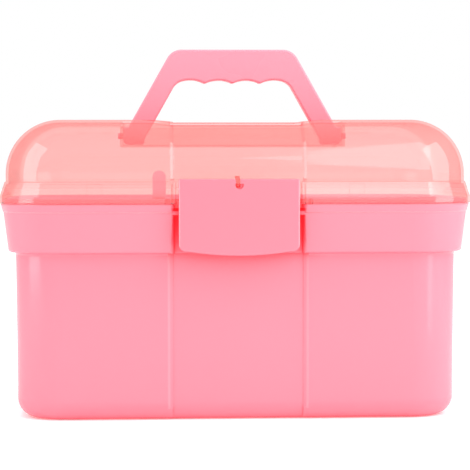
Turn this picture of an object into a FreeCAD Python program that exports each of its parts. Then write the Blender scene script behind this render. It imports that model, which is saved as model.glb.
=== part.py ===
import FreeCAD, Part

import math
import os

import Sketcher

# Storage box with a hinged, domed, see-through lid, a swing-up carry handle,
# a swinging front latch and a lift-out tray.
# Frame: origin on the floor under the middle of the box, +Z up, front towards -Y,
# +X to the right of somebody who looks at the front. Millimetres throughout.

V = FreeCAD.Vector
doc = FreeCAD.newDocument("storage_box")

# ----------------------------------------------------------------------------
# Driving dimensions
# ----------------------------------------------------------------------------
DIMS = [
    # rim of the lid, the widest line of the box
    ("rim_x", 166.0), ("rim_y", 98.0), ("rim_corner", 45.0),
    # heights
    ("parting_z", 149.7), ("seat_gap", 0.45), ("ledge_z", 115.9), ("crown_z", 208.3),
    # tub and collar, each given as an inset from the rim of the lid
    ("tub_low_in", 12.1), ("tub_high_in", 11.1), ("collar_low_in", 6.1), ("collar_high_in", 1.9),
    ("band_low_in", 2.2), ("band_high_in", 0.75), ("band_high", 5.6),
    ("tub_round", 13.5), ("tub_wall", 2.4), ("tub_floor", 2.6),
    ("ledge_round", 2.0),
    ("lip_in", 2.5), ("lip_wall", 1.5), ("lip_high", 3.5), ("lip_end_x", 50.5),
    ("panel_x", 45.0), ("panel_deep", 1.6), ("panel_side", 3.6),
    # gap in the collar behind the latch, and the bar that the latch hooks under
    ("gap_x", 44.3), ("gap_back_y", -88.1), ("gap_wall", 2.2), ("gap_round", 3.4),
    ("bar_low_z", 142.4), ("bar_high_z", 145.1), ("bar_front_y", -95.5), ("bar_back_y", -91.0),
    # lid
    ("dome_in", 4.4), ("dome_round", 38.0), ("lid_wall", 2.0),
    ("flange_top_z", 165.0), ("flange_break_z", 154.6), ("flange_in", 3.6), ("flange_wall", 1.6),
    ("flange_end_x", 43.2),
    ("channel_x", 44.4), ("channel_deep", 1.8), ("cheek_deep", 1.6), ("cheek_wide", 2.5), ("ramp_x", 60.5), ("ramp_deep", 1.5),
    ("recess_x", 80.4), ("recess_front_y", -12.0), ("recess_back_y", 64.8), ("recess_floor_z", 191.0),
    ("recess_wall", 1.5), ("recess_base", 1.0),
    # carry handle
    ("swing_y", 0.0), ("swing_z", 197.75), ("nub_radius", 2.2), ("nub_tip_x", 83.6), ("nub_fit", 0.08),
    ("grip_top_z", 260.7), ("grip_half_thick", 6.5), ("grip_out_x", 44.1), ("foot_out_x", 79.9),
    ("leg_knee_z", 197.5), ("grip_in_x", 41.5), ("leg_in_x", 64.3), ("leg_in_z", 195.4),
    ("scallop_pitch", 20.3), ("cusp_z", 235.9), ("scallop_radius", 21.9), ("grip_corner", 12.0),
    ("foot_low_z", 191.3), ("foot_turn", 6.45), ("foot_high_z", 204.4), ("grip_inner_round", 11.0), ("handle_edge", 1.5),
    # latch
    ("latch_x", 41.2), ("latch_top_z", 167.0), ("latch_low_z", 117.5), ("latch_mid_z", 114.7),
    ("latch_front_y", -103.5), ("latch_wall", 2.2), ("latch_side", 1.8), ("latch_corner", 5.0),
    ("latch_pin_y", -97.8), ("latch_pin_z", 162.6), ("latch_pin_radius", 1.25), ("pin_fit", 0.05),
    ("ear_radius", 3.1), ("hook_tip_y", -93.0), ("hook_top_z", 141.9), ("hook_low_z", 139.1), ("hook_x", 31.0),
    ("side_deep_y", -98.3),
    ("keyhole_slot", 3.1), ("keyhole_x", -0.9), ("keyhole_round_z", 162.95), ("keyhole_radius", 2.8), ("keyhole_flat_z", 163.7), ("keyhole_deep", 1.5),
    ("lug_half", 1.3), ("lug_top_z", 168.0),
    # rear hinge
    ("hinge_y", 102.2), ("hinge_z", 149.7), ("hinge_radius", 3.6), ("hinge_pin_radius", 1.5),
    ("hinge_in_x", 89.6), ("hinge_out_x", 118.4), ("knuckle_in_x", 98.0), ("knuckle_out_x", 110.0),
    ("strap_high", 11.8),
    ("knuckle_gap", 0.4),
    # tray
    ("tray_low_z", 118.5), ("tray_high_z", 153.4), ("tray_low_in", 9.6), ("tray_high_in", 5.1),
    ("tray_wall", 1.8), ("tray_floor", 1.8), ("tray_gap_x", 50.3), ("tray_gap_y", -82.8),
    ("rib_wall", 1.6), ("rib_top_z", 147.5), ("rib_long_y", 18.0), ("rib_cross_x", 52.0),
    ("tab_x", -54.4), ("tab_half", 4.5), ("tab_top_z", 172.8), ("tab_front_y", -88.8), ("tab_thick", 2.4),
]

sheet = doc.addObject("Spreadsheet::Sheet", "Dims")
VALUE = {}
for row, (alias, number) in enumerate(DIMS, start=1):
    sheet.set("A%d" % row, alias)
    sheet.set("B%d" % row, repr(number))
    sheet.setAlias("B%d" % row, alias)
    VALUE[alias] = number
doc.recompute()


class Size:
    """A length with its value and the expression that yields it from the sheet."""

    def __init__(self, value, text):
        self.value = value
        self.text = text

    def __add__(self, other):
        other = size(other)
        return Size(self.value + other.value, "(%s + %s)" % (self.text, other.text))

    def __sub__(self, other):
        other = size(other)
        return Size(self.value - other.value, "(%s - %s)" % (self.text, other.text))

    def __rsub__(self, other):
        return size(other) - self

    __radd__ = __add__

    def __mul__(self, number):
        return Size(self.value * number, "(%s * %r)" % (self.text, float(number)))

    __rmul__ = __mul__

    def __neg__(self):
        return Size(-self.value, "(0 - %s)" % self.text)


def size(x):
    return x if isinstance(x, Size) else Size(float(x), "%r" % float(x))


def dim(name):
    return Size(VALUE[name], "Dims.%s" % name)


class Dimensions:
    def __getattr__(self, name):
        return dim(name)


d = Dimensions()

BODIES = {}


def new_body(label):
    body = doc.addObject("PartDesign::Body", label)
    body.Label = label
    BODIES[label] = body
    return body


def origin_plane(body, role):
    return [f for f in body.Origin.OriginFeatures if f.Role == role][0]


def new_sketch(body, role, offset=0.0):
    sk = body.newObject("Sketcher::SketchObject", "Sketch")
    sk.AttachmentSupport = [(origin_plane(body, role), "")]
    sk.MapMode = "FlatFace"
    offset = size(offset)
    sk.AttachmentOffset = FreeCAD.Placement(V(0, 0, offset.value), FreeCAD.Rotation())
    if "Dims" in offset.text:
        sk.setExpression("AttachmentOffset.Base.z", offset.text)
    return sk


def add_bound(sk, constraints):
    """constraints: (Constraint arguments, Size or None)."""
    first = sk.ConstraintCount
    items = []
    for args, s in constraints:
        items.append(Sketcher.Constraint(*(args + ((s.value,) if s is not None else ()))))
    sk.addConstraint(items)
    for k, (_, s) in enumerate(constraints):
        if s is not None and "Dims" in s.text:
            sk.setExpression("Constraints[%d]" % (first + k), s.text)


def at_point(geo, pos, x, y):
    out = []
    for kind, axis, s in (("DistanceX", -2, size(x)), ("DistanceY", -1, size(y))):
        if abs(s.value) < 1e-9 and "Dims" not in s.text:
            out.append((("PointOnObject", geo, pos, axis), None))
        else:
            out.append(((kind, -1, 1, geo, pos), s))
    return out


def outline(sk, points, edges=None):
    """Closed outline. points: (x, y) or (x, y, corner radius). edges: {i: radius} makes the
    edge from point i to point i + 1 an arc of that radius; a positive radius bulges to the
    right of the direction of travel, a negative one to the left."""
    edges = edges or {}
    n = len(points)
    px = [size(p[0]).value for p in points]
    py = [size(p[1]).value for p in points]
    rad = [size(p[2]) if len(p) > 2 else None for p in points]
    start = [None] * n
    end = [None] * n
    arcs = {}
    for i in range(n):
        if rad[i] is None:
            start[i] = end[i] = (px[i], py[i])
            continue
        a, b = (i - 1) % n, (i + 1) % n
        u = V(px[a] - px[i], py[a] - py[i], 0).normalize()
        w = V(px[b] - px[i], py[b] - py[i], 0).normalize()
        half = u.getAngle(w) / 2.0
        back = rad[i].value / math.tan(half)
        tin = V(px[i], py[i], 0) + u * back
        tout = V(px[i], py[i], 0) + w * back
        mid = (u + w).normalize()
        centre = V(px[i], py[i], 0) + mid * (rad[i].value / math.sin(half))
        turn = (-u).cross(w).z
        end[i] = (tin.x, tin.y)      # where the incoming edge stops
        start[i] = (tout.x, tout.y)  # where the outgoing edge starts
        arcs[i] = (tin, tout, centre, turn)
    base = sk.GeometryCount
    geo = []
    line_of = {}
    arc_of = {}
    for i in range(n):
        j = (i + 1) % n
        p, q = V(start[i][0], start[i][1], 0), V(end[j][0], end[j][1], 0)
        if i in edges:
            r = size(edges[i])
            chord = q - p
            side = V(chord.y, -chord.x, 0).normalize() * (1 if r.value > 0 else -1)
            big = abs(r.value)
            centre = (p + q) * 0.5 - side * math.sqrt(big * big - (chord.Length / 2.0) ** 2)
            first, last = (p, q) if r.value > 0 else (q, p)
            a0 = math.atan2(first.y - centre.y, first.x - centre.x)
            a1 = math.atan2(last.y - centre.y, last.x - centre.x)
            if a1 < a0:
                a1 += 2.0 * math.pi
            geo.append(Part.ArcOfCircle(Part.Circle(centre, V(0, 0, 1), big), a0, a1))
        else:
            way = V(px[j] - px[i], py[j] - py[i], 0)
            if (q - p).dot(way) <= 0.0:
                raise RuntimeError("corner radii too large on edge %d of an outline" % i)
            geo.append(Part.LineSegment(p, q))
        line_of[i] = base + len(geo) - 1
    for i in arcs:
        tin, tout, centre, turn = arcs[i]
        r = (tin - centre).Length
        a0 = math.atan2(tin.y - centre.y, tin.x - centre.x)
        a1 = math.atan2(tout.y - centre.y, tout.x - centre.x)
        circle = Part.Circle(centre, V(0, 0, 1), r)
        if turn > 0:
            geo.append(Part.ArcOfCircle(circle, a0, a1))
        else:
            geo.append(Part.ArcOfCircle(circle, a1, a0))
        arc_of[i] = (base + len(geo) - 1, turn > 0)
    sk.addGeometry(geo, False)
    corner_point = {}
    if arcs:
        marks = []
        for i in sorted(arcs):
            marks.append(Part.Point(V(px[i], py[i], 0)))
        first = sk.GeometryCount
        sk.addGeometry(marks, True)
        for k, i in enumerate(sorted(arcs)):
            corner_point[i] = first + k

    def ends(i):
        """(position at the outgoing start, position at the incoming end) of edge i."""
        if i in edges:
            g = sk.Geometry[line_of[i]]
            p = V(start[i][0], start[i][1], 0)
            return (1, 2) if (g.StartPoint - p).Length < 1e-6 else (2, 1)
        return (1, 2)

    cons = []
    for i in range(n):
        a = (i - 1) % n
        here, before = line_of[i], line_of[a]
        if i in arcs:
            g, ccw = arc_of[i]
            first, last = (1, 2) if ccw else (2, 1)
            cons.append((("Tangent", before, ends(a)[1], g, first), None))
            cons.append((("Tangent", g, last, here, ends(i)[0]), None))
            cons.append((("Radius", g), rad[i]))
            cons += at_point(corner_point[i], 1, points[i][0], points[i][1])
            cons.append((("PointOnObject", corner_point[i], 1, before), None))
            cons.append((("PointOnObject", corner_point[i], 1, here), None))
        else:
            cons.append((("Coincident", before, ends(a)[1], here, ends(i)[0]), None))
            cons += at_point(here, ends(i)[0], points[i][0], points[i][1])
    for i in edges:
        r = size(edges[i])
        cons.append((("Radius", line_of[i]), Size(abs(r.value), r.text if r.value > 0 else "abs(%s)" % r.text)))
    add_bound(sk, cons)
    if sk.solve() != 0 or sk.ConflictingConstraints or sk.RedundantConstraints:
        raise RuntimeError("an outline is over-constrained or does not solve")
    return sk


def round_rect(sk, hx, hy, r):
    outline(sk, [(-hx, -hy, r), (hx, -hy, r), (hx, hy, r), (-hx, hy, r)])
    return sk


def circle(sk, x, y, r):
    g = sk.GeometryCount
    sk.addGeometry(Part.Circle(V(size(x).value, size(y).value, 0), V(0, 0, 1), size(r).value), False)
    add_bound(sk, at_point(g, 3, x, y) + [(("Radius", g), size(r))])
    return sk


def settle(feature, what):
    doc.recompute()
    for o in doc.Objects:
        if "Invalid" in o.State or "Error" in o.State:
            raise RuntimeError("%s: %s %s" % (what, o.Label, o.State))
    if feature.Shape.isNull() or not feature.Shape.isValid():
        raise RuntimeError("%s: bad shape" % what)
    return feature


def extrude(body, kind, sk, length, symmetric=False, reverse=False, what="extrude"):
    before = body.Shape.Volume if not body.Shape.isNull() else 0.0
    f = body.newObject("PartDesign::" + kind, kind)
    f.Profile = sk
    length = size(length)
    f.Length = length.value
    if "Dims" in length.text:
        f.setExpression("Length", length.text)
    if symmetric:
        f.SideType = "Symmetric"
    f.Reversed = reverse
    body.Tip = f
    settle(f, what)
    after = f.Shape.Volume
    if kind == "Pocket" and after > before - 1e-6:
        raise RuntimeError("%s: the cut took nothing away" % what)
    if kind == "Pad" and after < before + 1e-6:
        raise RuntimeError("%s: the pad added nothing" % what)
    return f


def tapered(body, kind, z0, z1, hx, hy, r, widen, what="tapered"):
    """Rounded rectangle hx, hy with corner r at height z0, drawn up to z1 and wider there
    by widen on every side."""
    before = body.Shape.Volume if not body.Shape.isNull() else 0.0
    sk = round_rect(new_sketch(body, "XY_Plane", z0), hx, hy, r)
    f = body.newObject("PartDesign::" + kind, kind)
    f.Profile = sk
    high = z1 - z0
    f.Length = high.value
    f.setExpression("Length", high.text)
    f.TaperAngle = math.degrees(math.atan2(widen.value, high.value))
    f.setExpression("TaperAngle", "atan(%s / %s)" % (widen.text, high.text))
    f.Reversed = kind == "Pocket"
    body.Tip = f
    settle(f, what)
    after = f.Shape.Volume
    if (kind == "Pocket") == (after > before):
        raise RuntimeError("%s: wrong way" % what)
    return f


def fillet(body, radius, choose, what="fillet", optional=False):
    base = body.Tip
    names = []
    for k, e in enumerate(base.Shape.Edges, start=1):
        if choose(e):
            names.append("Edge%d" % k)
    if not names:
        raise RuntimeError("%s: no edge chosen" % what)
    f = body.newObject("PartDesign::Fillet", "Fillet")
    f.Base = (base, names)
    radius = size(radius)
    f.Radius = radius.value
    if "Dims" in radius.text:
        f.setExpression("Radius", radius.text)
    body.Tip = f
    doc.recompute()
    bad = "Invalid" in f.State or f.Shape.isNull() or not f.Shape.isValid()
    if bad and optional:
        print("left sharp:", what)
        doc.removeObject(f.Name)
        body.Tip = base
        doc.recompute()
        return None
    return settle(f, what)


def chamfer(body, deep, wide, choose, removed, what="chamfer"):
    """Slanted edge with two different legs. The point removed lies in the material that goes,
    which tells the two ways round of the legs apart."""
    base = body.Tip
    names = []
    for k, e in enumerate(base.Shape.Edges, start=1):
        if choose(e):
            names.append("Edge%d" % k)
    if len(names) != 1:
        raise RuntimeError("%s: %d edges chosen" % (what, len(names)))
    f = body.newObject("PartDesign::Chamfer", "Chamfer")
    f.Base = (base, names)
    f.ChamferType = "Two distances"
    f.Size, f.Size2 = deep.value, wide.value
    f.setExpression("Size", deep.text)
    f.setExpression("Size2", wide.text)
    body.Tip = f
    for flip in (False, True):
        f.FlipDirection = flip
        doc.recompute()
        sound = "Invalid" not in f.State and not f.Shape.isNull() and f.Shape.isValid()
        if sound and not f.Shape.isInside(removed, 1e-4, False):
            break
    else:
        raise RuntimeError("%s: neither way round fits" % what)
    return settle(f, what)


def mirror(body, features, role, what="mirror"):
    before = body.Shape.Volume
    f = body.newObject("PartDesign::Mirrored", "Mirrored")
    f.Originals = features
    f.MirrorPlane = (origin_plane(body, role), [""])
    body.Tip = f
    settle(f, what)
    if abs(f.Shape.Volume - before) < 1e-6:
        raise RuntimeError("%s: nothing mirrored" % what)
    return f


def box_of(e):
    return e.BoundBox


def flat_at(z, tol=0.02):
    return lambda e: abs(e.BoundBox.ZMin - z) < tol and abs(e.BoundBox.ZMax - z) < tol


# ----------------------------------------------------------------------------
# Box body: tub, flared collar, ledge for the tray, latch gap, rear knuckles
# ----------------------------------------------------------------------------
def make_box_body():
    body = new_body("box_body")
    r0 = d.rim_corner
    tapered(body, "Pad", size(0.0), d.ledge_z + 1.0, d.rim_x - d.tub_low_in, d.rim_y - d.tub_low_in,
            r0 - d.tub_low_in, d.tub_low_in - d.tub_high_in, "tub")
    tapered(body, "Pad", d.ledge_z, d.parting_z, d.rim_x - d.collar_low_in, d.rim_y - d.collar_low_in,
            r0 - d.collar_low_in, d.collar_low_in - d.collar_high_in, "collar")
    tapered(body, "Pad", d.parting_z - d.band_high, d.parting_z, d.rim_x - d.band_low_in, d.rim_y - d.band_low_in,
            r0 - d.band_low_in, d.band_low_in - d.band_high_in, "collar band")
    zl = VALUE["ledge_z"]
    outer = VALUE["rim_x"] - VALUE["collar_low_in"]
    fillet(body, d.ledge_round,
           lambda e: flat_at(zl)(e) and (e.BoundBox.XMax > outer - 40.0 or e.BoundBox.XMin < -outer + 40.0
                                         or abs(e.BoundBox.YMin) > VALUE["rim_y"] - VALUE["collar_low_in"] - 0.1)
           and outline_edge(e, outer, VALUE["rim_y"] - VALUE["collar_low_in"]), "collar foot")

    # hollow of the tub, then the wider hollow of the collar, which leaves the tray's ledge
    w = d.tub_wall
    tapered(body, "Pocket", d.tub_floor, d.parting_z + 4.0, d.rim_x - d.tub_low_in - w, d.rim_y - d.tub_low_in - w,
            r0 - d.tub_low_in - w, d.tub_low_in - d.tub_high_in + 0.3, "tub hollow")
    fillet(body, d.tub_round - w, flat_at(VALUE["tub_floor"]), "tub hollow bottom")
    fillet(body, d.tub_round, flat_at(0.0), "tub bottom")
    tapered(body, "Pocket", d.ledge_z + w, d.parting_z, d.rim_x - d.collar_low_in + 0.38 - w,
            d.rim_y - d.collar_low_in + 0.38 - w, r0 - d.collar_low_in + 0.38 - w,
            d.collar_low_in - d.collar_high_in - 0.38 + 0.6, "collar hollow")

    # lip that stands up inside the lid
    sk = new_sketch(body, "XY_Plane", d.parting_z - 2.0)
    round_rect(sk, d.rim_x - d.lip_in, d.rim_y - d.lip_in, r0 - d.lip_in)
    round_rect(sk, d.rim_x - d.lip_in - d.lip_wall, d.rim_y - d.lip_in - d.lip_wall, r0 - d.lip_in - d.lip_wall)
    extrude(body, "Pad", sk, d.lip_high + 2.0, what="lip")

    # gap in the collar for the latch: a block closed off behind by a wall
    gy = d.gap_back_y + d.gap_wall
    y_low = -(d.rim_y - d.collar_low_in) + 0.2
    y_high = -(d.rim_y - d.collar_high_in) + 0.2
    sk = outline(new_sketch(body, "YZ_Plane"),
                 [(y_low, d.ledge_z), (gy, d.ledge_z), (gy, d.parting_z + d.lip_high),
                  (d.gap_back_y, d.parting_z + d.lip_high), (d.gap_back_y, d.parting_z), (y_high, d.parting_z)])
    extrude(body, "Pad", sk, (d.gap_x + d.gap_wall) * 2, symmetric=True, what="gap block")
    sk = outline(new_sketch(body, "YZ_Plane"),
                 [(size(-110.0), d.ledge_z - 5.0), (d.gap_back_y, d.ledge_z - 5.0),
                  (d.gap_back_y, d.parting_z + 12.0), (size(-110.0), d.parting_z + 12.0)])
    extrude(body, "Pocket", sk, d.gap_x * 2, symmetric=True, what="gap")
    sk = outline(new_sketch(body, "YZ_Plane"),
                 [(size(-110.0), d.parting_z), (size(-93.5), d.parting_z), (size(-93.5), d.parting_z + 12.0),
                  (size(-110.0), d.parting_z + 12.0)])
    extrude(body, "Pocket", sk, d.lip_end_x * 2, symmetric=True, what="lip ends")
    # the two ends of the collar are rounded along its slanting front face
    sk = new_sketch(body, "XY_Plane")
    run, rise = d.collar_low_in - d.band_high_in, d.parting_z - d.ledge_z
    sk.AttachmentOffset = FreeCAD.Placement(V(0, (d.band_high_in - d.rim_y).value, VALUE["parting_z"]),
                                            FreeCAD.Rotation(V(1, 0, 0), math.degrees(math.atan2(run.value, rise.value))))
    sk.setExpression("AttachmentOffset.Base.y", (d.band_high_in - d.rim_y).text)
    sk.setExpression("AttachmentOffset.Base.z", d.parting_z.text)
    sk.setExpression("AttachmentOffset.Rotation.Angle", "atan(%s / %s)" % (run.text, rise.text))
    g, r = d.gap_x, d.gap_round
    outline(sk, [(g - 1.0, size(-1.0)), (g + r, size(-1.0)), (g + r, size(0.0)), (g, r), (g - 1.0, r)], {2: -r})
    outline(sk, [(-g + 1.0, size(-1.0)), (-g + 1.0, r), (-g, r), (-g - r, size(0.0)), (-g - r, size(-1.0))], {2: -r})
    extrude(body, "Pocket", sk, rise + 4.0, what="collar ends")
    # strike bar
    sk = outline(new_sketch(body, "YZ_Plane"),
                 [(d.bar_front_y, d.bar_low_z), (d.bar_back_y, d.bar_low_z),
                  (d.bar_back_y, d.bar_high_z), (d.bar_front_y, d.bar_high_z)])
    extrude(body, "Pad", sk, (d.gap_x + 2.0) * 2, symmetric=True, what="strike bar")
    # two gussets that tie the bar to the wall behind it
    for side in (-1, 1):
        sk = outline(new_sketch(body, "YZ_Plane", size(side * 21.0)),
                     [(d.bar_back_y - 1.0, d.bar_low_z + 0.2), (d.gap_back_y + 0.5, d.bar_low_z + 0.2),
                      (d.gap_back_y + 0.5, d.bar_high_z - 0.2), (d.bar_back_y - 1.0, d.bar_high_z - 0.2)])
        extrude(body, "Pad", sk, size(3.0), symmetric=True, what="bar gusset")

    # shallow centre panel of the front wall, with the wall carried inwards behind it
    yo = -(d.rim_y - d.tub_high_in - d.panel_deep)
    yl = -(d.rim_y - d.tub_low_in - d.panel_deep)
    rr = d.tub_round - 1.0
    inner = 2.2
    sk = outline(new_sketch(body, "YZ_Plane"),
                 [(yl - 0.4, size(1.0), rr + 1.0), (yl + 22.0, size(1.0)), (yl + 22.0, size(1.0) + d.tub_floor - 1.0),
                  (yl + inner, size(1.0) + d.tub_floor - 1.0, rr - 1.4), (yo + inner, d.ledge_z + 1.0),
                  (yo - 0.4, d.ledge_z + 1.0)])
    extrude(body, "Pad", sk, (d.panel_x + 2.2) * 2, symmetric=True, what="panel backing")
    sk = outline(new_sketch(body, "YZ_Plane"),
                 [(size(-110.0), size(-2.0)), (yl + 20.0, size(-2.0)), (yl + 20.0, size(0.0)),
                  (yl, size(0.0), rr), (yo, d.ledge_z), (size(-110.0), d.ledge_z)])
    extrude(body, "Pocket", sk, d.panel_x * 2, symmetric=True, what="panel")
    # its two sides lean outwards along the slanting front wall
    sk = new_sketch(body, "XY_Plane")
    run, rise = d.tub_low_in - d.tub_high_in, d.ledge_z
    sk.AttachmentOffset = FreeCAD.Placement(V(0, (d.tub_high_in - d.rim_y).value, VALUE["ledge_z"]),
                                            FreeCAD.Rotation(V(1, 0, 0), math.degrees(math.atan2(run.value, rise.value))))
    sk.setExpression("AttachmentOffset.Base.y", (d.tub_high_in - d.rim_y).text)
    sk.setExpression("AttachmentOffset.Base.z", d.ledge_z.text)
    sk.setExpression("AttachmentOffset.Rotation.Angle", "atan(%s / %s)" % (run.text, rise.text))
    px, ps, low = d.panel_x, d.panel_side, d.panel_deep - 0.3
    outline(sk, [(px - 0.4, size(-1.0)), (px + ps, size(-1.0)), (px + ps, size(0.0)), (px, low), (px - 0.4, low)])
    outline(sk, [(0.4 - px, size(-1.0)), (0.4 - px, low), (-px, low), (-px - ps, size(0.0)), (-px - ps, size(-1.0))])
    extrude(body, "Pocket", sk, rise + 2.0, what="panel sides")

    # rear knuckles
    feats = []
    for x0, x1 in ((d.hinge_in_x, d.knuckle_in_x - d.knuckle_gap), (d.knuckle_out_x + d.knuckle_gap, d.hinge_out_x)):
        sk = new_sketch(body, "YZ_Plane", x0)
        yw = d.rim_y - d.collar_high_in - 1.2
        outline(sk, [(yw, d.hinge_z - 11.0), (d.hinge_y + d.hinge_radius, d.hinge_z - 0.2),
                     (d.hinge_y, d.hinge_z), (d.hinge_y - d.hinge_radius + 0.2, d.hinge_z - 0.4),
                     (yw, d.hinge_z - 0.6)])
        feats.append(extrude(body, "Pad", sk, x1 - x0, what="knuckle web"))
        sk = circle(new_sketch(body, "YZ_Plane", x0), d.hinge_y, d.hinge_z, d.hinge_radius)
        feats.append(extrude(body, "Pad", sk, x1 - x0, what="knuckle"))
    mirror(body, feats, "YZ_Plane", "knuckles")
    sk = circle(new_sketch(body, "YZ_Plane"), d.hinge_y, d.hinge_z, d.hinge_pin_radius + 0.02)
    extrude(body, "Pocket", sk, (d.hinge_out_x + 5.0) * 2, symmetric=True, what="knuckle bores")
    return body


def outline_edge(e, hx, hy):
    """True for an edge that lies on the outer plan outline."""
    m = e.valueAt((e.FirstParameter + e.LastParameter) / 2.0)
    return abs(m.x) > hx - 16.0 and abs(m.y) > hy - 16.0 or abs(abs(m.x) - hx) < 0.05 or abs(abs(m.y) - hy) < 0.05


# ----------------------------------------------------------------------------
# Lid: flange, dome, centre channel, handle recess, latch lugs, rear knuckles
# ----------------------------------------------------------------------------
def arch(inset, low_z):
    """Front to back run of the dome at a given depth under its surface, as outline points."""
    y = d.rim_y - d.dome_in - inset
    z = d.crown_z - inset
    r = d.dome_round - inset
    return [(-y, low_z), (-y, z, r), (y, z, r), (y, low_z)]


def make_lid():
    body = new_body("lid")
    r0 = d.rim_corner
    seat = d.parting_z + d.seat_gap
    t = d.lid_wall
    sk = round_rect(new_sketch(body, "XY_Plane", seat), d.rim_x - d.dome_in, d.rim_y - d.dome_in, r0 - d.dome_in)
    extrude(body, "Pad", sk, d.crown_z - seat, what="dome")
    sk = round_rect(new_sketch(body, "XY_Plane", seat), d.rim_x - d.dome_in - t, d.rim_y - d.dome_in - t,
                    r0 - d.dome_in - t)
    extrude(body, "Pocket", sk, d.crown_z - t - seat, reverse=True, what="dome hollow")
    fillet(body, d.dome_round - t, flat_at(VALUE["crown_z"] - VALUE["lid_wall"]), "dome hollow shoulder")
    fillet(body, d.dome_round, flat_at(VALUE["crown_z"]), "dome shoulder")
    # the flange stands upright at first, then leans in towards the dome
    sk = round_rect(new_sketch(body, "XY_Plane", seat), d.rim_x, d.rim_y, r0)
    extrude(body, "Pad", sk, d.flange_break_z - seat, what="flange band")
    tapered(body, "Pad", d.flange_break_z, d.flange_top_z, d.rim_x, d.rim_y, r0, -d.flange_in, "flange")
    fx, fy = VALUE["rim_x"] - VALUE["flange_in"], VALUE["rim_y"] - VALUE["flange_in"]
    zf = VALUE["flange_top_z"]
    fillet(body, 0.5, lambda e: flat_at(zf)(e) and on_plan(e, fx, fy, VALUE["rim_corner"] - VALUE["flange_in"]),
           "flange shoulder", optional=True)
    # the flange is hollow too; the dome's hollow is cut through it again
    fw = d.flange_wall
    sk = round_rect(new_sketch(body, "XY_Plane", seat), d.rim_x - fw, d.rim_y - fw, r0 - fw)
    extrude(body, "Pocket", sk, d.flange_break_z - seat, reverse=True, what="flange band hollow")
    tapered(body, "Pocket", d.flange_break_z, d.flange_top_z - fw, d.rim_x - fw, d.rim_y - fw, r0 - fw,
            0.55 - d.flange_in, "flange hollow")
    sk = round_rect(new_sketch(body, "XY_Plane", seat), d.rim_x - d.dome_in - t, d.rim_y - d.dome_in - t,
                    r0 - d.dome_in - t)
    extrude(body, "Pocket", sk, d.flange_top_z + 2.0 - seat, reverse=True, what="dome mouth")

    # backing of the centre channel
    t2 = d.channel_deep + t
    outer = arch(d.channel_deep - 0.5, seat)
    inner = arch(t2, seat)
    # the channel runs up the front and back to the handle recess
    sk = outline(new_sketch(body, "YZ_Plane"), [outer[0], outer[1], (d.recess_front_y - 0.5, outer[1][1]),
                                                (d.recess_front_y - 0.5, inner[1][1]), inner[1], inner[0]])
    extrude(body, "Pad", sk, (d.channel_x + t) * 2, symmetric=True, what="channel backing")
    # block of the handle recess
    rw = d.recess_wall
    zr = d.recess_floor_z - d.recess_base
    sk = outline(new_sketch(body, "YZ_Plane"),
                 [(d.recess_front_y - rw, zr), (d.recess_back_y + rw, zr), (d.recess_back_y + rw, d.crown_z - 3.8),
                  (size(55.0), d.crown_z - 1.0), (d.recess_front_y - rw, d.crown_z - 1.0)])
    extrude(body, "Pad", sk, (d.recess_x + rw) * 2, symmetric=True, what="recess block")
    # backing of the two ramps that fall to the channel on the flat crown
    for side in (-1.0, 1.0):
        a, b = d.channel_x * side, d.ramp_x * side
        sk = outline(new_sketch(body, "XZ_Plane", size(12.0)),
                     [(a, d.crown_z - t - 0.1 + 0.3), (b + side * 1.0, d.crown_z - t - 0.1 + 0.3),
                      (b + side * 1.0, d.crown_z - t - 0.1), (a, d.crown_z - t - d.ramp_deep)])
        extrude(body, "Pad", sk, size(40.0), what="ramp backing")
    # centre channel
    line = arch(d.channel_deep, seat - 3.0)
    sk = outline(new_sketch(body, "YZ_Plane"),
                 [(size(-115.0), d.flange_top_z), (line[0][0], d.flange_top_z), line[1], (size(2.0), line[1][1]),
                  (size(2.0), size(225.0)), (size(-115.0), size(225.0))])
    extrude(body, "Pocket", sk, d.channel_x * 2, symmetric=True, what="channel")
    # its two sides lean outwards
    xc, yd = VALUE["channel_x"], VALUE["rim_y"] - VALUE["dome_in"]
    for side in (-1.0, 1.0):
        chamfer(body, d.cheek_deep, d.cheek_wide,
                lambda e: abs(e.BoundBox.XMin - xc * side) < 0.01 and abs(e.BoundBox.XMax - xc * side) < 0.01
                and abs(e.BoundBox.YMin + yd) < 0.01 and abs(e.BoundBox.YMax + yd) < 0.01 and e.BoundBox.ZLength > 2.0,
                FreeCAD.Vector(side * (xc + 1.8), -yd + 0.2, 167.5), "channel side")
    for side in (-1.0, 1.0):
        a, b = d.channel_x * side, d.ramp_x * side
        sk = outline(new_sketch(body, "XZ_Plane", size(120.0)),
                     [(a - side * 0.5, d.crown_z - d.ramp_deep - 0.06), (b, d.crown_z), (b, d.crown_z + 6.0),
                      (a - side * 0.5, d.crown_z + 6.0)])
        extrude(body, "Pocket", sk, size(122.0), what="ramp")
    # end walls of the flange beside the latch
    sk = outline(new_sketch(body, "YZ_Plane"),
                 [(0.3 - d.rim_y, seat), (line[0][0] + 0.6, seat), (line[0][0] + 0.6, d.flange_top_z - 0.5),
                  (0.3 + d.flange_in - d.rim_y, d.flange_top_z - 0.5), (0.3 - d.rim_y, d.flange_break_z)])
    extrude(body, "Pad", sk, (d.flange_end_x + d.flange_wall + 0.6) * 2, symmetric=True, what="flange ends")
    # the flange makes way for the latch
    sk = outline(new_sketch(body, "YZ_Plane"),
                 [(size(-115.0), seat - 3.0), (line[0][0], seat - 3.0), (line[0][0], d.flange_top_z + 0.6),
                  (size(-115.0), d.flange_top_z + 0.6)])
    extrude(body, "Pocket", sk, d.flange_end_x * 2, symmetric=True, what="latch gap")
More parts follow.
